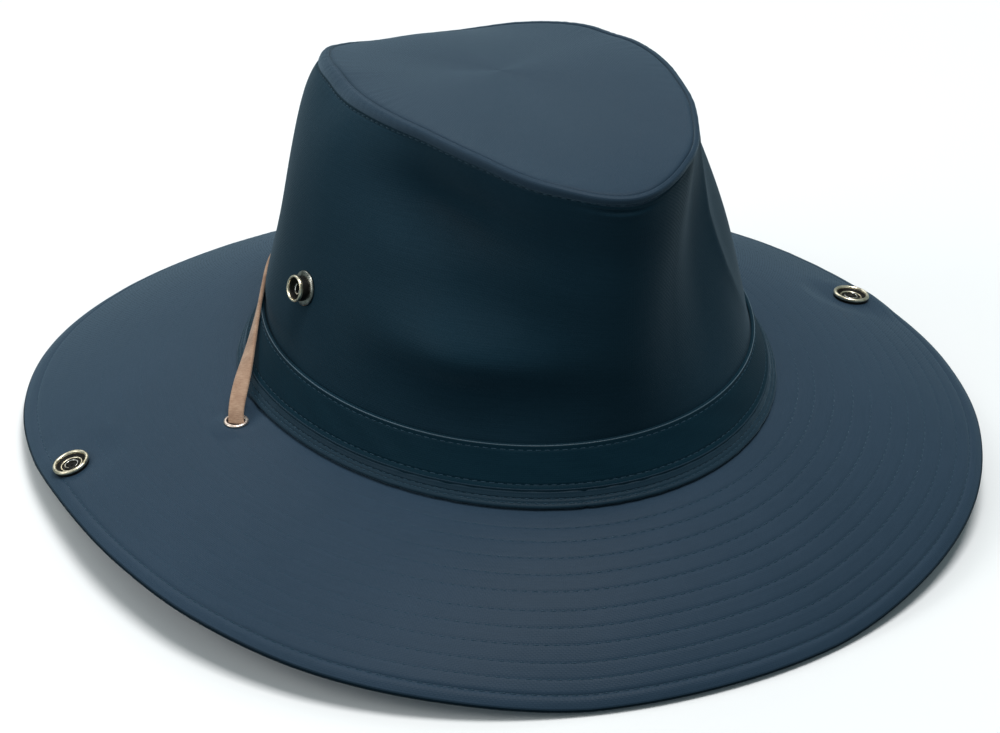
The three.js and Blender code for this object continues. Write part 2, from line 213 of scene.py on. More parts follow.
def brim_width(turn):
    return np.linalg.norm(brim_top(turn, 1) - brim_top(turn, 0), axis=-1)


def normal_of(surface, turn, share):
    """The surface's normal, away from the middle of the hat's foot."""
    around = surface(turn + SLOPE_STEP, share) - surface(turn - SLOPE_STEP, share)
    across = surface(turn, share + SLOPE_STEP) - surface(turn, share - SLOPE_STEP)
    normal = unit(np.cross(around, across))
    flip = np.sign(np.sum(normal * surface(turn, share), axis=-1, keepdims=True))
    return normal * flip


# A seat is a fitting's place on a surface and its axis

def seat_of(surface, share, turn):
    share = np.array(share, float)
    return surface(turn, share), normal_of(surface, turn, share)


def turn_of(place, side):
    return np.array(SIDES[side] * math.radians(place["angle"][side]))


def snap_seat(side):
    turn = turn_of(SNAP, side)
    return seat_of(brim_top, 1 - SNAP["in_from_edge"][side] / brim_width(turn), turn)


def stud_seat(side):
    turn = turn_of(STUD, side)
    return seat_of(crown_side, (STUD["height"] - BAND_HEIGHT) / (tip_height(turn) - BAND_HEIGHT), turn)


def eyelet_seat(side):
    turn = turn_of(EYELET, side)
    return seat_of(brim_top, EYELET["out_from_foot"] / brim_width(turn), turn)


def levelled(seat, share):
    """The same seat, its axis turned towards upright by a share."""
    at, axis = seat
    return at, unit(axis + (np.array([0, 0, 1.0]) - axis) * share)


# How level a fitting sits, and the radii where its pad fades
SNAP_LEVEL = {"left": 0.6, "right": 0.28}
SNAP_PAD = (6.3, 19)
EYELET_LEVEL = 0.85
EYELET_PAD = (4.6, 9)
PAD_END = (0.9, 1)  # shares of the brim's width


def pads():
    for side in SIDES:
        yield levelled(snap_seat(side), SNAP_LEVEL[side]), SNAP_PAD
        yield levelled(eyelet_seat(side), EYELET_LEVEL), EYELET_PAD


def brim_surface(turn, share):
    """The brim's top with a nearly level pad under each fitting."""
    point = brim_top(turn, share)
    for (at, axis), (inner, outer) in pads():
        away = point - at
        hold = 1 - smooth(np.hypot(away[..., 0], away[..., 1]), inner, outer)
        hold = hold * (1 - smooth(share, *PAD_END))
        level = -(away[..., 0] * axis[0] + away[..., 1] * axis[1]) / axis[2]
        point[..., 2] += hold * (level - away[..., 2])
    return point


def smooth_route(points, count):
    """A centripetal curve through the points, as evenly spaced points."""
    p = np.array(points, float)
    p = np.vstack([2 * p[0] - p[1], p, 2 * p[-1] - p[-2]])
    u = np.arange(0, 1, 1 / 40)[:, None]
    fine = []
    for x0, x1, x2, x3 in zip(p, p[1:], p[2:], p[3:]):
        d0, d1, d2 = (math.sqrt(np.linalg.norm(b - a)) for a, b in ((x0, x1), (x1, x2), (x2, x3)))
        m1 = d1 * ((x1 - x0) / d0 - (x2 - x0) / (d0 + d1) + (x2 - x1) / d1)
        m2 = d1 * ((x2 - x1) / d1 - (x3 - x1) / (d1 + d2) + (x3 - x2) / d2)
        fine.append(
            x1 + m1 * u + (3 * (x2 - x1) - 2 * m1 - m2) * u**2 + (2 * (x1 - x2) + m1 + m2) * u**3
        )
    fine = np.vstack(fine + [p[-2:-1]])
    reach = np.concatenate([[0], np.cumsum(np.linalg.norm(np.diff(fine, axis=0), axis=1))])
    at = np.linspace(0, reach[-1], count)
    return np.stack([np.interp(at, reach, fine[:, k]) for k in range(3)], axis=1)


def mesh_piece(name, points, faces, uv=None):
    """Points in mm; uv is one pair of metres for each corner of each face."""
    mesh = bpy.data.meshes.new(name)
    mesh.from_pydata((np.asarray(points) * MM).tolist(), [], [list(map(int, f)) for f in faces])
    mesh.validate()
    if uv is not None:
        layer = mesh.uv_layers.new(name="UVMap")
        layer.data.foreach_set("uv", np.asarray(uv, np.float32).ravel())
    mesh.polygons.foreach_set("use_smooth", [True] * len(mesh.polygons))
    mesh.update()
    piece = bpy.data.objects.new(name, mesh)
    bpy.context.scene.collection.objects.link(piece)
    return piece


def outward_faces(points, faces):
    """Four-cornered faces, turned round if together they point in."""
    a, b, c, d = (points[faces[:, k]] for k in range(4))
    size = np.einsum("ij,ij->i", a, np.cross(b, c) + np.cross(c, d)).sum()
    return faces[:, ::-1] if size < 0 else faces


FAN_UV = [(0, 0), (MM, 0), (0, MM)]


def grid_piece(name, grid, closed=True, poles=False, plan=False):
    """A body over grid[around, across]; across is joined last to first where closed, and its
    end rings get a fan where poles. UVs are lengths along the rows, or places in plan."""
    n, m, _ = grid.shape
    points = grid.reshape(-1, 3)
    i, j = np.meshgrid(np.arange(n), np.arange(m if closed else m - 1), indexing="ij")
    i, j = i.ravel(), j.ravel()
    i2, j2 = (i + 1) % n, (j + 1) % m
    faces = np.stack([i * m + j, i2 * m + j, i2 * m + j2, i * m + j2], axis=1)
    step_v = np.linalg.norm(np.diff(np.concatenate([grid, grid[:, :1]], axis=1), axis=1), axis=2)
    v = np.concatenate([[0], np.cumsum(step_v.mean(axis=0))]) * MM
    step_u = np.linalg.norm(np.diff(np.concatenate([grid, grid[:1]], axis=0), axis=0), axis=2)
    u = np.concatenate([[0], np.cumsum(step_u.mean(axis=1))]) * MM
    ends = ((i, j), (i + 1, j), (i + 1, j + 1), (i, j + 1))
    corners = np.stack([np.stack([u[a], v[b]], axis=1) for a, b in ends], axis=1)
    outward = outward_faces(points, faces)
    if outward is not faces:
        corners = corners[:, ::-1]
    all_faces, all_uv = outward.tolist(), corners.reshape(-1, 2).tolist()
    middle = points.mean(axis=0)
    for end in (0, m - 1) if poles else ():
        ring = [k * m + end for k in range(n)]
        centre = grid[:, end].mean(axis=0)
        points = np.vstack([points, centre])
        for k in range(n):
            fan = [len(points) - 1, ring[k], ring[(k + 1) % n]]
            a, b, c = points[fan]
            way = np.dot(np.cross(b - a, c - a), centre - middle)
            all_faces.append(fan if way > 0 else fan[::-1])
            all_uv += FAN_UV
    if plan:
        all_uv = [points[k, :2] * MM for face in all_faces for k in face]
    return mesh_piece(name, points, all_faces, all_uv)


AXIS_RADIUS = 0.01  # the nearest that a profile comes to its axis
NUDGE = 1e-6  # for upright axes


def ways_across(axis):
    """Two directions square to an axis and to each other."""
    side = unit(np.cross(axis, [0.0, 0.0, 1.0]) + [NUDGE, 0, 0])
    return side, np.cross(axis, side)


def turned(name, profile, seat, sides, ring=False):
    """A profile of (radius, height) turned about the seat's axis: a disc, or a ring whose
    profile runs back to its first point."""
    at, axis = seat
    side, other = ways_across(axis)
    turns = np.linspace(0, 2 * math.pi, sides, endpoint=False)[:, None, None]
    radius = np.array([max(r, AXIS_RADIUS) for r, _ in profile])[None, :, None]
    height = np.array([h for _, h in profile])[None, :, None]
    grid = at + (np.cos(turns) * side + np.sin(turns) * other) * radius + axis * height
    return grid_piece(name, grid, closed=ring, poles=not ring)


def sweep(name, path, facing, section):
    """A closed section of (across, out) pairs carried along the path, out looking to facing."""
    along = unit(np.gradient(path, axis=0))
    across = unit(np.cross(along, facing))
    out = np.cross(across, along)
    grid = (
        path[:, None, :]
        + across[:, None, :] * section[..., 0, None]
        + out[:, None, :] * section[..., 1, None]
    )
    return grid_piece(name, np.swapaxes(grid, 0, 1), closed=False, poles=True)


# Where along it, and its height and thickness as shares of lift and radius
THREAD_RINGS = [(0, -1.6, 0.5), (0.16, 0.35, 1), (0.5, 1, 1.05), (0.84, 0.35, 1), (1, -1.6, 0.5)]
THREAD_SIDES = 4
THREAD_STEP = 0.2
# Each kind's pitch, length, radius and lift
STITCHES = {
    "brim": (3.1, 2.35, 0.14, 0.12), "crown": (2.9, 2.15, 0.17, 0.12),
    "band": (2.7, 2.0, 0.12, 0.09), "strip": (2.6, 1.9, 0.12, 0.1),
}


def stitches(curve, normal, pitch, length, radius, lift):
    """Short threads along a closed curve, their ends sunk into the cloth."""
    closed = np.vstack([curve, curve[:1]])
    reach = np.concatenate([[0], np.cumsum(np.linalg.norm(np.diff(closed, axis=0), axis=1))])
    count = int(reach[-1] / pitch)
    ways = np.vstack([normal, normal[:1]])

    def at(distance):
        distance = distance % reach[-1]
        p = np.stack([np.interp(distance, reach, closed[:, k]) for k in range(3)], axis=-1)
        w = np.stack([np.interp(distance, reach, ways[:, k]) for k in range(3)], axis=-1)
        return p, unit(w)

    start = np.arange(count)[:, None] * (reach[-1] / count)
    place, height, thick = np.array(THREAD_RINGS).T
    p, w = at(start + place * length)
    ahead, _ = at(start + place * length + THREAD_STEP)
    side = unit(np.cross(unit(ahead - p), w))
    ring = np.linspace(0, 2 * math.pi, THREAD_SIDES, endpoint=False)
    up = (height * lift)[:, None] + np.sin(ring) * (thick * radius)[:, None]
    sideways = np.cos(ring) * (thick * radius)[:, None]
    points = p[:, :, None] + w[:, :, None] * up[..., None] + side[:, :, None] * sideways[..., None]
    s, r = len(place), len(ring)
    base = np.arange(count)[:, None, None] * (s * r)
    k, q = (v.ravel() for v in np.meshgrid(np.arange(s - 1), np.arange(r), indexing="ij"))
    q2 = (q + 1) % r
    quads = np.stack([k * r + q, (k + 1) * r + q, (k + 1) * r + q2, k * r + q2], axis=1)
    ends = np.array([np.arange(r)[::-1], (s - 1) * r + np.arange(r)])
    return points.reshape(-1, 3), (base + quads).reshape(-1, 4), (base + ends).reshape(-1, r)


def stitch_piece(name, lines):
    points, faces, shift = [], [], 0
    for p, quads, ends in lines:
        points.append(p)
        faces += (quads + shift).tolist() + (ends + shift).tolist()
        shift += len(p)
    return mesh_piece(name, np.vstack(points), faces)


CAMERA = {"azimuth": -25.18, "elevation": 29.93, "roll": 0.25, "distance": 1.4, "lens": 153.7, "near": 0.05}
CAMERA_SHIFT = (1.16, 24.07)  # how far right and up of the middle it looks, in mm


def make_camera():
    azimuth, elevation, roll = (math.radians(CAMERA[k]) for k in ("azimuth", "elevation", "roll"))
    back = Vector((
        math.sin(azimuth) * math.cos(elevation),
        -math.cos(azimuth) * math.cos(elevation),
        math.sin(elevation),
    ))
    right = Vector((math.cos(azimuth), math.sin(azimuth), 0))
    up = back.cross(right)
    target = (right * CAMERA_SHIFT[0] + up * CAMERA_SHIFT[1]) * MM
    rolled_right = right * math.cos(roll) + up * math.sin(roll)
    rolled_up = up * math.cos(roll) - right * math.sin(roll)
    data = bpy.data.cameras.new("camera")
    data.lens = CAMERA["lens"]
    data.sensor_width = 36
    data.clip_start = CAMERA["near"]
    camera = bpy.data.objects.new("camera", data)
    bpy.context.scene.collection.objects.link(camera)
    matrix = camera.matrix_world.to_3x3()
    matrix.col[0], matrix.col[1], matrix.col[2] = rolled_right, rolled_up, back
    camera.matrix_world = matrix.to_4x4()
    camera.location = target + back * CAMERA["distance"]
    bpy.context.scene.camera = camera


make_camera()


class Nodes:
    """A material's nodes, joined by short calls."""

    INPUTS = {
        "base": "Base Color", "metal": "Metallic", "rough": "Roughness", "normal": "Normal",
        "sheen": "Sheen Weight", "sheen_rough": "Sheen Roughness", "sheen_tint": "Sheen Tint",
        "specular": "Specular IOR Level",
    }

    def __init__(self, name):
        self.material = bpy.data.materials.new(name)
        self.material.use_nodes = True
        self.tree = self.material.node_tree
        self.shader = self.tree.nodes["Principled BSDF"]

    def give(self, socket, value):
        if isinstance(value, bpy.types.NodeSocket):
            self.tree.links.new(value, socket)
        else:
            socket.default_value = value

    def node(self, kind, inputs=None, **settings):
        node = self.tree.nodes.new(kind)
        for key, value in settings.items():
            setattr(node, key, value)
        for key, value in (inputs or {}).items():
            self.give(node.inputs[key], value)
        return node

    def math(self, operation, a, b=0.0):
        return self.node("ShaderNodeMath", {0: a, 1: b}, operation=operation).outputs[0]

    def joined(self, first, second, share):
        first, second = (self.math("MULTIPLY", v, s) for v, s in ((first, 1 - share), (second, share)))
        return self.math("ADD", first, second)

    def varied(self, value, middle, spread):
        """Middle for a value of 0.5, half the spread to each side at 0 and 1."""
        return self.math("ADD", self.math("MULTIPLY", value, spread), middle - spread / 2)

    def mix(self, share, a, b):
        return self.node("ShaderNodeMix", {0: share, 6: a, 7: b}, data_type="RGBA").outputs[2]

    def ramp(self, value, low, high):
        """0 below low, 1 above high."""
        node = self.node("ShaderNodeValToRGB", {0: value})
        for element, position in zip(node.color_ramp.elements, (low, high)):
            element.position = position
        return node.outputs[0]

    def scaled(self, source, scale):
        return self.node("ShaderNodeMapping", {0: source, 3: scale}).outputs[0]

    def noise(self, vector, scale, detail=3.0, roughness=0.55):
        inputs = {"Vector": vector, "Scale": scale, "Detail": detail, "Roughness": roughness}
        return self.node("ShaderNodeTexNoise", inputs).outputs[0]

    def bump(self, height, distance, strength=1.0, below=None):
        inputs = {"Height": height, "Distance": distance, "Strength": strength}
        if below is not None:
            inputs["Normal"] = below
        return self.node("ShaderNodeBump", inputs).outputs[0]

    def set(self, **inputs):
        for key, value in inputs.items():
            self.give(self.shader.inputs[self.INPUTS[key]], value)


def rgb(r, g, b):
    """A display colour, 0 to 255, as the linear colour that a shader takes."""
    def linear(v):
        v /= 255
        return v / 12.92 if v <= 0.04045 else ((v + 0.055) / 1.055) ** 2.4
    return (linear(r), linear(g), linear(b), 1)


THREAD_PITCH = 0.00062  # from one thread of the cloth to the next, in metres
PATINA_EDGE = 0.14


def woven(name, dark, light, rough=0.5, weave=0.00005, sheen=0.3, specular=0.12):
    """Tightly woven cotton with a soft sheen: crossing threads, slubs, faint cloudiness."""
    m = Nodes(name)
    where = m.node("ShaderNodeTexCoord")
    solid, flat = where.outputs["Object"], where.outputs["UV"]
    thread = m.scaled(flat, (1 / THREAD_PITCH,) * 3)
    split = m.node("ShaderNodeSeparateXYZ", {0: thread}).outputs
    warp, weft = (m.math("ABSOLUTE", m.math("SINE", m.math("MULTIPLY", split[k], math.pi))) for k in (0, 1))
    over = m.node("ShaderNodeTexChecker", {"Vector": thread, "Scale": 1.0}).outputs["Fac"]
    under = m.math("SUBTRACT", 1.0, over)
    height = m.math("ADD", m.math("MULTIPLY", over, warp), m.math("MULTIPLY", under, weft))
    slub = m.noise(m.scaled(flat, (90, 1400, 1)), 1.0, detail=2)
    cloud = m.noise(solid, scale=14, detail=4)
    fleck = m.noise(solid, scale=900, detail=2)
    tone = m.joined(m.joined(cloud, slub, 0.4), fleck, 0.2)
    soft = m.bump(m.noise(solid, scale=60), distance=0.0002, strength=0.35)
    fine = m.bump(height, weave, strength=0.6, below=soft)
    m.set(base=m.mix(m.ramp(tone, 0.36, 0.64), dark, light), rough=m.varied(cloud, rough, 0.12), normal=fine)
    m.set(sheen=sheen, sheen_rough=0.4, sheen_tint=(0.6, 0.82, 1, 1), specular=specular)
    return m.material


def suede(name, dark, light):
    """Brushed leather lace: short fibres along it, mottled tan."""
    m = Nodes(name)
    where = m.node("ShaderNodeTexCoord")
    fibres = m.noise(m.scaled(where.outputs["UV"], (500, 3800, 1)), 1.0, detail=4, roughness=0.7)
    mottle = m.noise(where.outputs["Object"], scale=160)
    tone = m.joined(fibres, mottle, 0.45)
    nap = m.bump(fibres, distance=0.00025, strength=0.8)
    m.set(base=m.mix(m.ramp(tone, 0.34, 0.66), dark, light), rough=0.88, normal=nap)
    m.set(sheen=0.35, sheen_rough=0.5, sheen_tint=(1, 0.9, 0.8, 1), specular=0.25)
    return m.material


def metal(name, dark, light, rough, worn=0.5, metallic=1.0, specular=0.5):
    """Lacquered or antiqued metal: patina in patches, fine scratches."""
    m = Nodes(name)
    solid = m.node("ShaderNodeTexCoord").outputs["Object"]
    patina = m.noise(solid, scale=420, detail=5, roughness=0.6)
    scratch = m.noise(m.scaled(solid, (300, 4000, 300)), 1.0, detail=2)
    tone = m.joined(patina, scratch, 0.25)
    base = m.mix(m.ramp(tone, worn - PATINA_EDGE, worn + PATINA_EDGE), dark, light)
    scratched = m.bump(scratch, distance=0.00004, strength=0.4)
    m.set(base=base, metal=metallic, rough=m.varied(patina, rough, 0.22), normal=scratched, specular=specular)
    return m.material


def plain_floor(name):
    m = Nodes(name)
    cloud = m.noise(m.node("ShaderNodeTexCoord").outputs["Object"], 3, detail=2)
    m.set(base=m.mix(cloud, (0.93, 0.93, 0.93, 1), (0.95, 0.95, 0.95, 1)), rough=0.85, specular=0.2)
    return m.material


DULL = {"sheen": 0.05, "specular": 0.05}
BRIM_CLOTH = woven("brim_cloth", (0.018, 0.038, 0.063, 1), (0.024, 0.047, 0.077, 1))
# A near-black copy of the brim's cloth for its rolled edge: painted shade, a dark outline all along the rim
EDGE_PAINTED_SHADE = woven("brim_edge_painted_shade", (0.003, 0.01, 0.017, 1), (0.005, 0.014, 0.023, 1), **DULL)
TIP_CLOTH = woven("crown_tip_cloth", (0.016, 0.035, 0.058, 1), (0.022, 0.044, 0.07, 1), sheen=0.25)
# The crown's cloth is a darker copy of the brim's and tip's navy cloth: painted shade on the crown's upright
# side
CROWN_CLOTH_PAINTED_SHADE = woven(
    "crown_cloth", (0.005, 0.022, 0.036, 1), (0.008, 0.028, 0.045, 1), sheen=0.1, specular=0.06
)
# The band's cloth is a darker copy of the navy cloth: painted shade on the upright band
BAND_CLOTH_PAINTED_SHADE = woven("band_cloth", (0.003, 0.018, 0.03, 1), (0.005, 0.024, 0.038, 1), **DULL)
# The foot strip's cloth is a copy lighter than the band's: painted light on the strip's upward flare
STRIP_CLOTH_PAINTED_LIGHT = woven("foot_strip_painted_light_cloth", (0.007, 0.023, 0.038, 1), (0.011, 0.031, 0.049, 1), sheen=0.2)
# A pale copy of the navy cloth for the band's top fold: a painted highlight, the thin bright line along the
# band's top edge
FOLD_PAINTED_HIGHLIGHT = woven("band_fold_painted_highlight", (0.05, 0.09, 0.12, 1), (0.08, 0.13, 0.17, 1), rough=0.35, specular=0.5)
THREAD = woven(
    "sewing_thread", (0.013, 0.042, 0.068, 1), (0.02, 0.056, 0.088, 1), 0.4, weave=0.00002, specular=0.15
)
BRASS = metal("antique_brass", (0.42, 0.35, 0.22, 1), (0.98, 0.88, 0.68, 1), rough=0.3, worn=0.44)
BLACK = {"metallic": 0, "specular": 0.15}
# Near-black metal: the stud's blackened barrel, and painted shade in the snap's cup and in the dark ring
# under its rim
DARK_METAL_AND_SHADE = metal("blackened_brass_and_painted_shade", (0.003, 0.003, 0.003, 1), (0.012, 0.011, 0.009, 1), 0.55, **BLACK)
SPRING_METAL = metal("spring_steel", (0.35, 0.34, 0.32, 1), (0.75, 0.74, 0.72, 1), rough=0.25)
COPPER = metal("copper_lacquer", (0.72, 0.52, 0.42, 1), (0.98, 0.84, 0.74, 1), rough=0.36, worn=0.42)
STUD_BASE = metal("stud_base", (0.10, 0.10, 0.08, 1), (0.55, 0.55, 0.5, 1), rough=0.3, worn=0.52)
# Near-black discs just above the cloth inside each eyelet: painted shade standing in for the hole
HOLE_PAINTED_SHADE = metal(
    "eyelet_hole_painted_shade", (0.002, 0.003, 0.004, 1), (0.006, 0.007, 0.009, 1), 0.7, metallic=0.0, specular=0.1
)
SUEDE = suede("suede_lace", rgb(140, 105, 84), rgb(192, 160, 135))


def finish(piece, material, slot, *nodes):
    piece.data.materials.append(material)
    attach(piece, "root")
    if nodes:
        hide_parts(*nodes)
    return piece


LACE_SIDES = 20


def lace_section(width, thickness):
    """A flat lace's section at each point of its path, the powers round its corners."""
    ring = np.linspace(0, 2 * math.pi, LACE_SIDES, endpoint=False)
    across = np.sign(np.cos(ring)) * np.abs(np.cos(ring)) ** 0.45
    out = np.sign(np.sin(ring)) * np.abs(np.sin(ring)) ** 0.6
    across, out = np.broadcast_arrays(across * width[:, None] / 2, out * thickness / 2)
    return np.stack([across, out], axis=-1)


def end_distance(count, step):
    index = np.arange(count)
    return np.minimum(index, index[::-1]) * step


def lace_width(near_end, in_eyelet, spreads):
    return in_eyelet + (LACE["width"] - in_eyelet) * smooth(near_end, *spreads)


CHIN_POINTS = 260
CHIN_STEP = 1.63  # between them
CHIN_STRAIGHT = 4  # down from the brim
CHIN_SETTLES = 0.9  # a flat lace lies this much lower than a round cord
CHIN_LYING = (4, 10)  # heights
CHIN_STEEP = (0.25, 0.8)  # slopes
CHIN_EASING = 12
OFF_FLOOR = 0.05


def chin_path():
    def fall(side):
        at, axis = eyelet_seat(side)
        depths = (BRIM_THICKNESS / 2 + GAP / 2, BRIM_THICKNESS + CHIN_STRAIGHT)
        dropped = [at * (1, 1, 0) + (SIDES[side] * out, back, z) for out, back, z in CHIN_DROPS]
        return [at - axis * depth for depth in depths] + dropped

    lying = [
        outline(CHIN_OVAL, math.radians(a), CHIN_OVAL["height"])
        for a in range(CHIN_OVAL["from"], -CHIN_OVAL["from"] - 1, -CHIN_OVAL["step"])
    ]
    return smooth_route(fall("left") + lying + fall("right")[::-1], CHIN_POINTS)


def chin_loop():
    path = chin_path()
    settled = path[:, 2] - CHIN_SETTLES * (1 - smooth(path[:, 2], *CHIN_LYING))
    path[:, 2] = np.maximum(settled, LACE["thickness"] / 2 + OFF_FLOOR)
    along = unit(np.gradient(path, axis=0))
    steep = smooth(np.abs(along[:, 2]), *CHIN_STEEP)
    outward = unit(path * (1, 1, 0))
    facing = unit(outward * steep[:, None] + np.array([0, 0, 1.0]) * (1 - steep[:, None]))
    for _ in range(CHIN_EASING):
        facing[1:-1] = unit(facing[:-2] + facing[1:-1] + facing[2:])
    width = lace_width(end_distance(CHIN_POINTS, CHIN_STEP), in_eyelet=4.6, spreads=(3, 12))
    piece = sweep("lace_chin_loop", path, facing, lace_section(width, LACE["thickness"]))
    finish(piece, SUEDE, "suede", "chin_loop")


chin_loop()


# Seed, how many waves, and the slowest and fastest
WAVES = {
    "brim": (3, 9, 60, 170), "crown": (11, 6, 4, 14), "seam": (5, 9, 40, 120), "tip_rim": (8, 9, 30, 90),
    "tip": (21, 5, 2, 6), "band": (31, 7, 6, 30), "strip": (41, 9, 30, 90),
}


def wavelets(turn, place):
    """A fixed sum of waves round the hat, about -1 to 1."""
    seed, count, low, high = WAVES[place]
    draw = np.random.default_rng(seed)
    rates = draw.integers(low, high, count)
    phases = draw.uniform(0, 2 * math.pi, count)
    return sum(np.sin(rate * turn + phase) for rate, phase in zip(rates, phases)) / math.sqrt(count)


EDGE_STEPS = 5  # points round a slab's edge


def slab(name, centre, turn, shares, half):
    """A closed body with round edges, half(turn, share) thick on each side of a surface."""
    middle = centre(turn, shares)
    normal = normal_of(centre, turn, shares)
    thick = half(turn, shares)[..., None]
    upper, lower = middle + normal * thick, middle - normal * thick
    arc = np.linspace(math.pi / 2, -math.pi / 2, EDGE_STEPS + 2)[1:-1, None]

    def edge(k, way):
        share = shares[..., [k]]
        outward = unit(centre(turn, share + SLOPE_STEP * way) - centre(turn, share))
        bend = outward * np.cos(arc) + normal[:, [k]] * np.sin(arc)
        return middle[:, [k]] + thick[:, [k]] * bend

    grid = np.concatenate([upper, edge(-1, 1), lower[:, ::-1], edge(0, -1)[:, ::-1]], axis=1)
    return grid_piece(name, grid)


def tube_round(name, curve, out, up, radius, sides=10):
    """A thin closed roll along a closed curve of points."""
    turn = np.linspace(0, 2 * math.pi, sides, endpoint=False)[None, :, None]
    grid = curve[:, None] + (out[:, None] * np.cos(turn) + up[:, None] * np.sin(turn)) * radius
    return grid_piece(name, grid)


THREAD_ON_CLOTH = 0.03


def slab_threads(name, centre, half, shares, kind, slot):
    """Lines of thread round the hat on a slab's outer side."""
    lines = []
    for share in shares:
        share = np.full(AROUND, share)
        normal = normal_of(centre, ROUND, share)
        curve = centre(ROUND, share) + normal * (half(ROUND, share) + THREAD_ON_CLOTH)[:, None]
        lines.append(stitches(curve, normal, *STITCHES[kind]))
    finish(stitch_piece(name, lines), THREAD, slot)


# The brim's stitch rows as shares of its width; the last is the hem's
BRIM_ROWS = np.array([0.099, 0.179, 0.272, 0.363, 0.451, 0.548, 0.63, 0.711, 0.793, 0.866, 0.932])
ROW_RINGS = np.array([-1.5, -0.62, -0.28, 0, 0.28, 0.62, 1.5])  # in mm about each row
BRIM_MEAN_WIDTH = 66
OTHER_RINGS = [-0.065, -0.03, 0.02, 0.05, 0.965, 0.978]
BRIM_RIM_HALF = 0.95  # half the folded edge's thickness
RIM_THINS = (0.94, 1)
QUILT_ENDS = (0.965, 0.99)
EDGE_ROLL_OUT = 0.12
# How hard the rows draw the cloth in, and the angle where they do it more and its spread
LEAST_PULL, MORE_PULL, PULL_AT = 0.05, 0.5, (24, 50)
HEM_FROM, HEM_PULL = 0.9, 0.95
HEM_RISE, HEM_RISES = 0.15, (0.936, 0.95)
PUFF, PUFF_WIDTH = 0.07, 1.6
GROOVE, GROOVE_WIDTH = 0.4, 0.3
RIPPLE, RIPPLE_SLANT = 0.02, 2.1
THREAD_ABOVE, THREAD_SUNK = 0.04, 0.22


def row_strength(turn, share):
    """The rows draw the cloth in most at the front and the wearer's left, the hem all round."""
    strength = LEAST_PULL + MORE_PULL * bell(degrees_of(turn), *PULL_AT)
    return np.where(share > HEM_FROM, np.maximum(strength, HEM_PULL), strength)


def quilt(turn, share):
    distance = np.min(np.abs(share[..., None] - BRIM_ROWS), axis=-1) * brim_width(turn)
    puff = PUFF * (1 - bell(distance, 0, PUFF_WIDTH)) - GROOVE * bell(distance, 0, GROOVE_WIDTH)
    ripple = RIPPLE * wavelets(turn + share * RIPPLE_SLANT, "brim")
    return row_strength(turn, share) * (puff + ripple) + HEM_RISE * smooth(share, *HEM_RISES)


def brim_centre(turn, share):
    top = brim_surface(turn, share)
    return top - normal_of(brim_surface, turn, share) * BRIM_THICKNESS / 2


def brim():
    near_rows = (BRIM_ROWS[:, None] + ROW_RINGS / BRIM_MEAN_WIDTH).ravel()
    shares = np.unique(np.round(np.concatenate([OTHER_RINGS, near_rows]), 4))
    rim = 1 - BRIM_RIM_HALF / brim_width(TURNS)
    shares = np.concatenate([on_every_turn(shares), rim], axis=1)

    def half(turn, share):
        thinned = (BRIM_THICKNESS / 2 - BRIM_RIM_HALF) * smooth(share, *RIM_THINS)
        return BRIM_THICKNESS / 2 - thinned + quilt(turn, share) * (1 - smooth(share, *QUILT_ENDS))

    finish(slab("brim_panel", brim_centre, TURNS, shares, half), BRIM_CLOTH, "brim_cloth", "brim")
    turn, share = ROUND, rim[:, 0]
    at = brim_centre(turn, share)
    up = normal_of(brim_surface, turn, share)
    out = unit(brim_centre(turn, share + SLOPE_STEP) - at)
    edge = tube_round("brim_edge", at + out * EDGE_ROLL_OUT, out, up, BRIM_RIM_HALF, sides=14)
    # The rolled edge takes the near-black cloth: painted shade along the rim
    finish(edge, EDGE_PAINTED_SHADE, "brim_cloth")


def brim_threads():
    lines = []
    hardest = LEAST_PULL + MORE_PULL
    for share in BRIM_ROWS:
        share = np.full(AROUND, share)
        normal = normal_of(brim_surface, ROUND, share)
        sunk = THREAD_ABOVE - THREAD_SUNK * (1 - np.minimum(row_strength(ROUND, share) / hardest, 1))
        curve = brim_surface(ROUND, share) + normal * (quilt(ROUND, share) + sunk)[:, None]
        lines.append(stitches(curve, normal, *STITCHES["brim"]))
    finish(stitch_piece("brim_stitches", lines), THREAD, "brim_cloth")


# Soft forms of the crown's side: angle, its width, share up, its width, how far out
CROWN_FORMS = [
    (-37, 27, 0.75, 0.13, -7.8),
    (-35, 20, 0.31, 0.125, 9.4),
    (-106, 14, 0.12, 0.20, 1.6),
    (20, 15, 0.62, 0.34, -3.6),
    (62, 14, 0.35, 0.3, 0.7),
    (150, 30, 0.35, 0.2, -0.9),
    (-150, 34, 0.3, 0.2, -0.9),
]
FORMS_BEGIN, FORMS_END = (0, 0.12), (0.93, 1)
# The ridge on the wearer's left
RIDGE_SHARES = [0.0, 0.1, 0.234, 0.34, 0.436, 0.57, 0.72, 0.85, 1.0]
RIDGE_ANGLES = [60, 55.7, 49.2, 45, 42.5, 40, 39.5, 37.5, 34]
RIDGE_HEIGHT, RIDGE_WIDTH, RIDGE_CREST = 1.9, 5.5, 0.4
RIDGE_BEGIN, RIDGE_END = (0.02, 0.42), (0.86, 0.99)
MM_PER_DEGREE = 1.25
CROWN_RIPPLE = 0.22
FORMS_AXIS = (0, -6, 0)


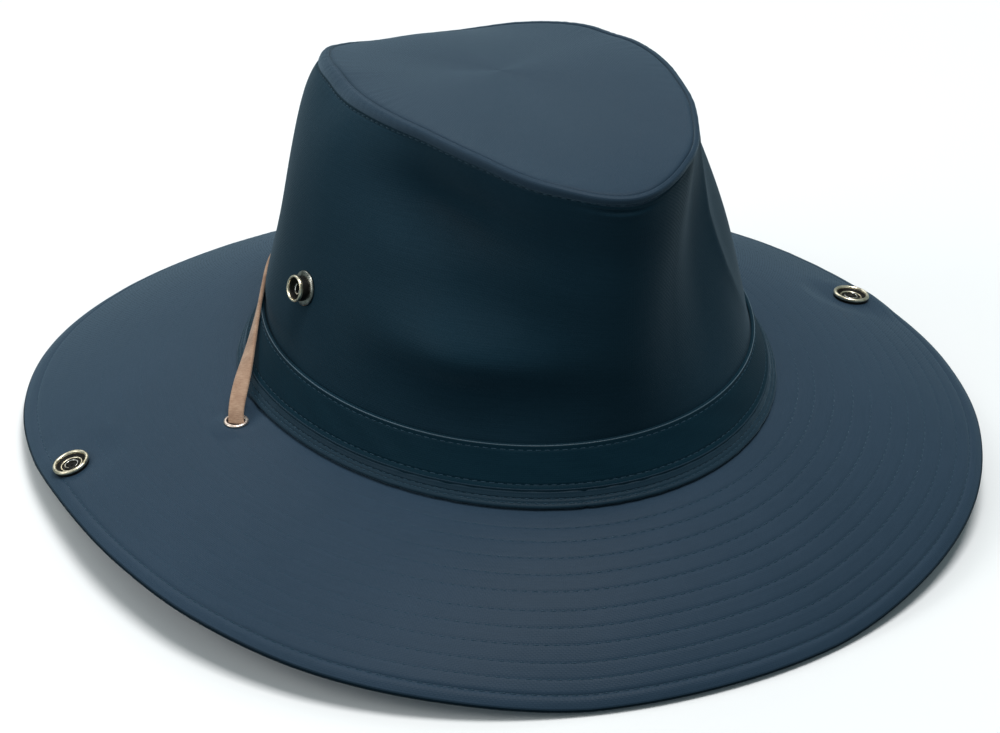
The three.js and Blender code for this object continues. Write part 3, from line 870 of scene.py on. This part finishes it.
def crown_relief(turn, share):
    angle = degrees_of(turn)
    out = sum(depth * bell(angle, a, wa) * bell(share, s, ws) for a, wa, s, ws, depth in CROWN_FORMS)
    off = (angle - np.interp(share, RIDGE_SHARES, RIDGE_ANGLES)) * MM_PER_DEGREE
    crest = np.exp(-(np.hypot(off, RIDGE_CREST) - RIDGE_CREST) / RIDGE_WIDTH)
    ridge = RIDGE_HEIGHT * crest * smooth(share, *RIDGE_BEGIN) * (1 - smooth(share, *RIDGE_END))
    ripple = CROWN_RIPPLE * wavelets(turn + 0.5 * share, "crown") * np.sin(share * 5)
    hold = smooth(share, *FORMS_BEGIN) * (1 - smooth(share, *FORMS_END))
    return (out + ridge + ripple) * hold


def crown_wall(turn, share):
    side = crown_side(turn, share)
    outward = unit(side * (1, 1, 0) - FORMS_AXIS)
    return side + outward * crown_relief(turn, share)[..., None]


TOPSTITCH_DEPTH, HIGHER_IN_FRONT, FRONT_SPREAD = 3.9, 1.4, 14
SEAM_ROLL = 0.85
SEAM_LINE, LINE_WIDTH, LINE_BELOW = 0.4, 0.4, 0.25
NOSE_FOLDS = [(6.4, 1.0, 0.5), (4.9, 0.55, -1.0)]  # how far below the seam, width, how far out


def topstitch_depth(turn):
    """How far the row of stitches runs below the tip's seam."""
    return TOPSTITCH_DEPTH - HIGHER_IN_FRONT * bell(degrees_of(turn), 0, FRONT_SPREAD)


def seam_roll(turn, depth):
    """The folded edge under the tip's seam, the stitch line below it, the nose's crease."""
    foot = topstitch_depth(turn)
    u = np.clip(depth / foot, 0, 1)
    round_edge = np.sqrt(np.clip(1 - (2 * u - 1) ** 2, 0, 1)) * (depth < foot)
    roll = SEAM_ROLL * round_edge * (1.15 - 0.6 * u)
    line = SEAM_LINE * bell(depth, foot + LINE_BELOW, LINE_WIDTH)
    crease = bell(degrees_of(turn), -3.5, 5) * bells(depth, NOSE_FOLDS)
    pucker = 0.04 * wavelets(turn, "seam") * np.exp(-depth / 6)
    return roll - line + crease + pucker


# Rings of the crown's side, by depth below the tip's seam
SEAM_RINGS = np.array([
    9, 8, 7.4, 6.9, 6.4, 5.9, 5.5, 5.2, 4.9, 4.6, 4.4, 4.2, 4.05, 3.9, 3.8, 3.65, 3.5, 3.3, 3.0, 2.7,
    2.45, 2.2, 1.9, 1.6, 1.25, 0.9, 0.6, 0.35, 0.15, 0.0,
])
SIDE_RINGS = 61
SIDE_ENDS = 9.6  # how far below the seam the other rings end
ROLL_PAINTED_LIGHT_DEPTH = 3.4  # the roll from here up to the seam takes the lighter tip cloth: painted light on the fold
BEHIND_BAND = (GAP, 2.4, FOOT_STRIP_HEIGHT, 10, 15)  # above the crown's foot
INSIDE_FOOT = (12, FOOT_STRIP_HEIGHT, GAP)
SEAM_LIP = [(0.25, 0.25), (0.5, 0.12), (0.7, -0.25), (0.78, -1.0)]  # in and up from the seam
INSIDE_RINGS = np.linspace(0.97, 0, 44)
INSIDE_DEPTH = 1.35
TOPSTITCH_BELOW, TOPSTITCH_ABOVE = 0.2, 0.05


def crown():
    length = side_length(TURNS)
    body = np.linspace(0, 1, SIDE_RINGS, endpoint=False) * (1 - SIDE_ENDS / length)
    shares = np.concatenate([body, 1 - SEAM_RINGS / length], axis=1)
    roll = seam_roll(TURNS, (1 - shares) * length)[..., None]
    outer = crown_wall(TURNS, shares) + normal_of(crown_side, TURNS, shares) * roll

    def foot_rings(heights, inward):
        return [inset(lambda t, h=h: band_outside(t, h), TURNS, inward) for h in heights]

    feet = foot_rings(BEHIND_BAND, UNDER_BAND)
    over = [inset(tip_seam, TURNS, inward) + (0, 0, up) for inward, up in SEAM_LIP]
    inner_shares = on_every_turn(INSIDE_RINGS)
    inner = crown_wall(TURNS, inner_shares) - normal_of(crown_side, TURNS, inner_shares) * INSIDE_DEPTH
    inner_feet = foot_rings(INSIDE_FOOT, UNDER_BAND + CROWN_WALL)
    grid = np.concatenate(feet + [outer] + over + [inner] + inner_feet, axis=1)
    # The crown's side takes the darker cloth: painted shade
    piece = finish(grid_piece("crown_wall", grid), CROWN_CLOTH_PAINTED_SHADE, "crown_cloth", "crown_side")
    # Second slot: the tip's lighter cloth on the roll below the seam, painted light on the fold
    piece.data.materials.append(TIP_CLOTH)
    roll_from = len(feet) + SIDE_RINGS + int(np.argmax(SEAM_RINGS < ROLL_PAINTED_LIGHT_DEPTH))
    roll_to = len(feet) + outer.shape[1] + len(over)
    ring = np.arange(len(piece.data.polygons)) % grid.shape[1]
    painted_light_faces = (ring >= roll_from) & (ring < roll_to)
    piece.data.polygons.foreach_set("material_index", painted_light_faces.astype(np.int32))


def crown_threads():
    depth = topstitch_depth(ROUND) + TOPSTITCH_BELOW
    share = 1 - depth / side_length(ROUND)
    normal = normal_of(crown_side, ROUND, share)
    curve = crown_wall(ROUND, share) + normal * (seam_roll(ROUND, depth) + TOPSTITCH_ABOVE)[:, None]
    piece = stitch_piece("crown_stitches", [stitches(curve, normal, *STITCHES["crown"])])
    finish(piece, THREAD, "crown_cloth")


TIP_RIM_INSET = 0.85
TIP_THICKNESS = 1.2
TIP_WAVES = 7
TIP_RINGS = np.concatenate([np.linspace(0.01, 0.9, 36), [0.93, 0.95, 0.965, 0.975, 0.985, 0.992, 0.997, 1.0]])
TIP_TUCK, TUCK_WIDTH = 0.6, 0.35
TIP_RIPPLE = 0.4


def crown_tip():
    """As smooth as its seam allows, with the dome added."""
    turn, shares = TURNS, TIP_RINGS[None]
    middle = tip_seam(np.linspace(0, 2 * math.pi, SEGMENTS, endpoint=False)).mean(axis=0)
    rim = inset(tip_seam, turn, TIP_RIM_INSET)
    point = blend(middle[None, None], rim, on_every_turn(TIP_RINGS))
    waves = np.fft.rfft(rim[:, 0, 2]) / AROUND
    height = np.full(point.shape[:2], waves[0].real)
    for k in range(1, TIP_WAVES):
        turning = 2 * (waves[k].real * np.cos(k * turn) - waves[k].imag * np.sin(k * turn))
        height = height + turning * shares**k
    rest = rim[:, :, 2] - height[:, -1:]
    point[..., 2] = height + rest * shares**TIP_WAVES + TIP_DOME * (1 - shares**3)
    from_rim = (1 - shares) * np.linalg.norm(rim - middle, axis=-1)

    def near_rim(height, begins, fades):
        return height * (1 - np.exp(-from_rim / begins)) * np.exp(-from_rim / fades)

    swell = near_rim(height=0.3, begins=1.2, fades=14) - TIP_TUCK * np.exp(-from_rim / TUCK_WIDTH)
    pucker = near_rim(height=0.05, begins=1.5, fades=5) * wavelets(turn, "tip_rim")
    ripple = TIP_RIPPLE * wavelets(turn + shares, "tip") * shares**2 * (1 - shares)
    upper, under = point.copy(), point.copy()
    upper[..., 2] += swell + pucker + ripple
    under[..., 2] -= TIP_THICKNESS
    under[:, -1, 2] -= 0.5
    grid = np.concatenate([upper, under[:, ::-1]], axis=1)
    piece = grid_piece("crown_tip_panel", grid, closed=False, poles=True, plan=True)
    finish(piece, TIP_CLOTH, "crown_cloth", "crown_tip")


BAND_FOOT = FOOT_STRIP_HEIGHT + GAP / 2
BAND_TALL = BAND_HEIGHT - BAND_FOOT
BAND_HALF = BAND_THICKNESS / 2 - 0.08
# Swellings at the folds, dips at the stitch lines: how far up, width, how far out
BAND_LINES = (1.7, BAND_TALL - 1.3)
BAND_FORMS = [(BAND_TALL, 0.9, 0.1), (0, 1.0, 0.3), (BAND_LINES[1], 0.25, -0.2), (BAND_LINES[0], 0.25, -0.24)]
BAND_RIPPLE = 0.1
BAND_RINGS = np.array([0.05, 0.3, 0.6, 0.9, 1.3, 1.5, 1.65, 1.8, 1.95, 2.1, 2.3, 2.6])
BAND_MIDDLE_RINGS = np.linspace(0.22, 0.78, 16)
# Rolled edges: share up the band, radius, height in radii, cloth
BAND_FOLDS = [
    # The top fold's pale cloth is a painted highlight
    ("band_top_fold", 1.0, 0.26, -0.5, FOLD_PAINTED_HIGHLIGHT),
    # The foot fold takes the strip's lighter cloth: painted light
    ("band_foot_fold", 0.0, 0.35, 1.0, STRIP_CLOTH_PAINTED_LIGHT),
]
FOLD_IN = 0.1
FOLD_NORMAL_AT = 0.98


def band_centre(turn, share):
    """The middle of the band's cloth, share 0 at its foot."""
    height = BAND_FOOT + BAND_TALL * share
    return inset(lambda t: band_outside(t, height), turn, BAND_THICKNESS / 2 + 0 * share)


def band():
    def half(turn, share):
        ripple = BAND_RIPPLE * wavelets(turn + 0.3 * share, "band") * np.sin(math.pi * share)
        return BAND_HALF + bells(share * BAND_TALL, BAND_FORMS) + ripple

    near = BAND_RINGS / BAND_TALL
    shares = on_every_turn(np.unique(np.concatenate([near, BAND_MIDDLE_RINGS, 1 - near])))
    # The band takes the darker cloth: painted shade
    finish(slab("band_wrap", band_centre, TURNS, shares, half), BAND_CLOTH_PAINTED_SHADE, "band_cloth", "hat_band")
    out = normal_of(band_centre, ROUND, np.full(AROUND, FOLD_NORMAL_AT))
    up = np.broadcast_to([0, 0, 1.0], out.shape)
    for name, share, radius, lift, material in BAND_FOLDS:
        edge = band_centre(ROUND, np.full(AROUND, share))
        edge = edge + out * (BAND_THICKNESS / 2 - FOLD_IN) + up * radius * lift
        finish(tube_round(name, edge, out, up, radius), material, "band_cloth")
    lines = [above / BAND_TALL for above in BAND_LINES]
    slab_threads("band_stitches", band_centre, half, lines, "band", "band_cloth")


STRIP_FOOT = 1.0  # above the crown's foot
STRIP_TALL = 4.7  # along its slope
STRIP_OUT, STRIP_SAG = 0.2, 0.5
STRIP_HALF = BAND_THICKNESS / 2 - 0.06
STRIP_LINES = (1.0, 2.5)
STRIP_FORMS = [(0, 0.8, 0.2), (STRIP_TALL, 0.8, 0.1), (2.5, 0.3, -0.3), (1.0, 0.25, -0.12)]
STRIP_JOIN = [(-12, 0.5, -0.3)]  # where its two ends meet, in degrees, width, how far out
STRIP_RIPPLE = 0.06
STRIP_RINGS = np.linspace(0.02, 0.98, 30)


def strip_centre(turn, share):
    """The middle of the strip's cloth, share 0 over the brim and 1 at the band's foot."""
    height = STRIP_FOOT + (FOOT_STRIP_HEIGHT - GAP / 2 - STRIP_FOOT) * share
    inward = BAND_THICKNESS / 2 - STRIP_OUT + STRIP_SAG * share * (1 - share)
    return inset(lambda t: band_outside(t, height), turn, inward)


def foot_strip():
    def half(turn, share):
        forms = bells(share * STRIP_TALL, STRIP_FORMS) + bells(degrees_of(turn), STRIP_JOIN)
        return STRIP_HALF + forms + STRIP_RIPPLE * wavelets(turn, "strip")

    piece = slab("foot_strip_wrap", strip_centre, TURNS, on_every_turn(STRIP_RINGS), half)
    # The strip takes the lighter cloth: painted light on its flare
    finish(piece, STRIP_CLOTH_PAINTED_LIGHT, "brim_cloth", "foot_strip")
    lines = [up / STRIP_TALL for up in STRIP_LINES]
    slab_threads("foot_strip_stitches", strip_centre, half, lines, "strip", "brim_cloth")


brim()
brim_threads()
crown()
crown_threads()
crown_tip()
band()
foot_strip()


# The way that the strap's flat side looks at the +X eyelet
LACE_TWIST_TOWARDS = np.array([0.5, -0.866, 0.0])
LACE_POINTS = 240
LACE_EASING = 16
LACE_IN_HOLE = 1.2  # towards the front
LACE_RISE, LACE_LEAN = 1.6, 1.2  # up and towards the crown, above it
LACE_BOW = 0.4
LACE_ON_CROWN = 1.4  # its thickness there
LACE_OFF_CROWN = 0.1
LACE_TWIST_FROM_TO = (0, 75)  # how far along it turns to the crown


def strap_over():
    def landing(side):
        return LACE_LANDING[side] if side == "left" else 360 - LACE_LANDING[side]

    def on_crown(degrees):
        turn = np.array(math.radians(degrees))
        share = np.array((LACE_HEIGHT - BAND_HEIGHT) / (tip_height(turn) - BAND_HEIGHT))
        return inset(lambda t: crown_wall(t, share), turn, -LACE_ON_CROWN / 2 - LACE_OFF_CROWN)

    def rise(side):
        at, axis = eyelet_seat(side)
        there = on_crown(landing(side))
        near = LACE_TWIST_TOWARDS * (SIDES[side], 1, 1) * LACE_IN_HOLE
        start = at + axis * (GAP / 2 - BRIM_THICKNESS / 2) + near
        above = at + near + axis * LACE_RISE + unit(there - at) * LACE_LEAN
        return [start, above, (above + there) / 2 + (0, 0, LACE_BOW)]

    wrapped = [on_crown(a) for a in np.linspace(landing("left"), landing("right"), LACE_WRAP_POINTS)]
    path = smooth_route(rise("left") + wrapped + rise("right")[::-1], LACE_POINTS)
    for _ in range(LACE_EASING):
        path[1:-1] = (path[:-2] + 2 * path[1:-1] + path[2:]) / 4
    reach = np.linalg.norm(np.diff(path, axis=0), axis=1).sum()
    near_end = end_distance(LACE_POINTS, reach / (LACE_POINTS - 1))
    side = np.where(path[:, :1] > 0, 1, -1)
    forward = unit(LACE_TWIST_TOWARDS * np.concatenate([side, side * side, side * side], axis=1))
    facing = unit(blend(forward, unit(path * (1, 1, 0)), smooth(near_end, *LACE_TWIST_FROM_TO)))
    width = lace_width(near_end, in_eyelet=4.95, spreads=(3, 14))
    piece = sweep("lace_over_crown", path, facing, lace_section(width, LACE_ON_CROWN))
    finish(piece, SUEDE, "suede", "strap_over")


strap_over()


WIRE_STEPS, WIRE_SIDES = 40, 10


def arc_wire(name, seat, radius, wire, height, start, end, rise):
    """A short bent wire lying about a seat's axis."""
    at, axis = seat
    side, other = ways_across(axis)
    turns = np.radians(np.linspace(start, end, WIRE_STEPS))[:, None]
    lift = height + rise * np.linspace(0, 1, WIRE_STEPS)[:, None]
    path = at + (side * np.cos(turns) + other * np.sin(turns)) * radius + axis * lift
    ring = np.linspace(0, 2 * math.pi, WIRE_SIDES, endpoint=False)
    section = np.stack([np.cos(ring), np.sin(ring)], axis=-1)[None] * wire * np.ones((WIRE_STEPS, 1, 1))
    return sweep(name, path, np.broadcast_to(axis, path.shape), section)


def raised(profile, base, way=1):
    """A profile set on a base height, upside down where way is -1."""
    return [(radius, base + way * height) for radius, height in profile]


def fitting(name, seat, slot, parts):
    """Turned parts, and wires that have measures for a profile; the first replaces the solid."""
    for part, material, form, *shape in parts:
        if shape:
            piece = turned(f"{name}_{part}", form, seat, *shape)
        else:
            piece = arc_wire(f"{name}_{part}", seat, **form)
        finish(piece, material, slot, *([name] if part == parts[0][0] else []))


CAP_UNDER_BRIM = -BRIM_THICKNESS - 0.15
CAP_IN_CROWN = -CROWN_WALL - 0.3
# Profiles are (radius, height) in mm
SNAP_PARTS = [
    ("rim", BRASS, [
        (4.85, 0.95), (5.2, 0.8), (5.7, 0.8), (6.02, 1.0), (6.12, 1.35), (6.02, 1.7), (5.78, 1.95),
        (5.42, 2.02), (5.1, 1.9), (4.92, 1.6), (4.86, 1.25),
    ], 64, True),
    # A near-black ring under the brass rim: painted shadow under the rim
    ("base", DARK_METAL_AND_SHADE, [(4.6, 0.1), (5.85, 0.1), (5.9, 0.45), (5.75, 0.95), (4.9, 1.1)], 64, True),
    # The socket's inside is near-black: painted shade in its hollow
    ("cup", DARK_METAL_AND_SHADE, [
        (4.8, 0.1), (4.85, 1.3), (4.6, 1.15), (4.4, 0.75), (3.6, 0.42), (2.4, 0.3), (1.2, 0.28), (0.4, 0.28),
    ], 48),
    ("inner_ring", BRASS, [(3.2, 0.42), (3.6, 0.5), (3.7, 0.75), (3.5, 0.85), (3.2, 0.7)], 48, True),
    ("spring", SPRING_METAL, dict(radius=2.1, wire=0.2, height=0.55, start=-150, end=140, rise=0.3)),
    ("cap", BRASS, raised([
        (0.01, -1.15), (3.2, -1.1), (4.8, -0.85), (5.35, -0.5), (5.5, -0.15), (5.4, 0), (2.0, 0.02),
    ], CAP_UNDER_BRIM), 48),
]
STUD_PARTS = [
    ("flange", STUD_BASE, [
        (2.5, 0.1), (5.4, 0.15), (5.6, 0.4), (5.45, 0.75), (5.0, 0.95), (3.9, 1.15), (3.3, 1.2),
    ], 56, True),
    ("barrel", DARK_METAL_AND_SHADE, [
        (3.6, 0.6), (4.0, 1.0), (4.0, 2.2), (3.95, 2.9), (3.85, 3.3), (3.55, 3.7), (3.2, 3.1), (3.0, 2.1),
        (0.5, 1.8),
    ], 48),
    ("rim", BRASS, [
        (3.5, 3.2), (3.85, 3.12), (4.15, 3.3), (4.25, 3.7), (4.2, 4.1), (4.0, 4.35), (3.75, 4.38),
        (3.55, 4.15), (3.45, 3.7),
    ], 56, True),
    ("spring", SPRING_METAL, dict(radius=1.7, wire=0.28, height=2.2, start=-40, end=190, rise=0.9)),
    ("cap", BRASS, raised([
        (0.01, -1.0), (3.2, -0.95), (4.5, -0.6), (4.75, -0.2), (4.6, 0), (1.6, 0),
    ], CAP_IN_CROWN), 40),
]
EYELET_RING = [
    (2.75, 0.1), (3.9, 0.08), (4.0, 0.3), (3.88, 0.62), (3.6, 0.82), (3.25, 0.86), (2.95, 0.7), (2.78, 0.4),
]
# A dark disc inside the ring, not a hole through the brim: painted shade
EYELET_SHADE_DISC = [(2.95, 0.14), (2.85, 0.2), (1.0, 0.2)]
EYELET_PARTS = [
    ("top", COPPER, EYELET_RING, 56, True),
    ("top_hole", HOLE_PAINTED_SHADE, EYELET_SHADE_DISC, 32),
    ("under", COPPER, raised(EYELET_RING, -BRIM_THICKNESS, -1), 56, True),
    ("under_hole", HOLE_PAINTED_SHADE, raised(EYELET_SHADE_DISC, -BRIM_THICKNESS, -1), 32),
]
for side in SIDES:
    snap = levelled(snap_seat(side), SNAP_LEVEL[side])
    fitting(f"brim_snap_{side}", snap, "antique_brass", SNAP_PARTS)
    fitting(f"crown_stud_{side}", stud_seat(side), "antique_brass", STUD_PARTS)
    hole = levelled(eyelet_seat(side), EYELET_LEVEL)
    fitting(f"eyelet_{side}", hole, "copper_lacquer", EYELET_PARTS)


FLOOR_HALF = 6.0
LIGHTS_AIM = (0, 0, 0.06)
LIGHTS = [
    ("light_top", (0.15, -0.25, 2.2), (0.9, 0.9), 34),
    ("light_back", (0, 1.2, 1.1), (1.6, 0.8), 5.5),
    ("light_left", (-1.3, 0.1, 0.7), (0.7, 0.9), 5),
    ("light_front_left", (-1.0, -0.6, 1.4), (0.8, 0.8), 1.2),
]
WORLD_COLOUR, WORLD_STRENGTH = (0.78, 0.97, 1, 1), 0.28


def floor():
    """Takes the hat's shadow but throws no light up at it."""
    corners = [(x * FLOOR_HALF, y * FLOOR_HALF, 0) for x, y in ((-1, -1), (1, -1), (1, 1), (-1, 1))]
    mesh = bpy.data.meshes.new("floor")
    mesh.from_pydata(corners, [], [(0, 1, 2, 3)])
    piece = bpy.data.objects.new("floor", mesh)
    bpy.context.scene.collection.objects.link(piece)
    piece.data.materials.append(plain_floor("floor"))
    piece.visible_glossy = False
    piece.visible_diffuse = False


def soft_light(name, at, size, power):
    data = bpy.data.lights.new(name, "AREA")
    data.shape = "RECTANGLE"
    data.size, data.size_y = size
    data.energy = power
    light = bpy.data.objects.new(name, data)
    light.location = at
    light.rotation_euler = (Vector(LIGHTS_AIM) - Vector(at)).to_track_quat("-Z", "Y").to_euler()
    bpy.context.scene.collection.objects.link(light)


floor()
for light in LIGHTS:
    soft_light(*light)

world = bpy.data.worlds.new("world")
world.use_nodes = True
background = world.node_tree.nodes["Background"].inputs
background[0].default_value = WORLD_COLOUR
background[1].default_value = WORLD_STRENGTH
bpy.context.scene.world = world
bpy.context.scene.view_settings.view_transform = "Standard"
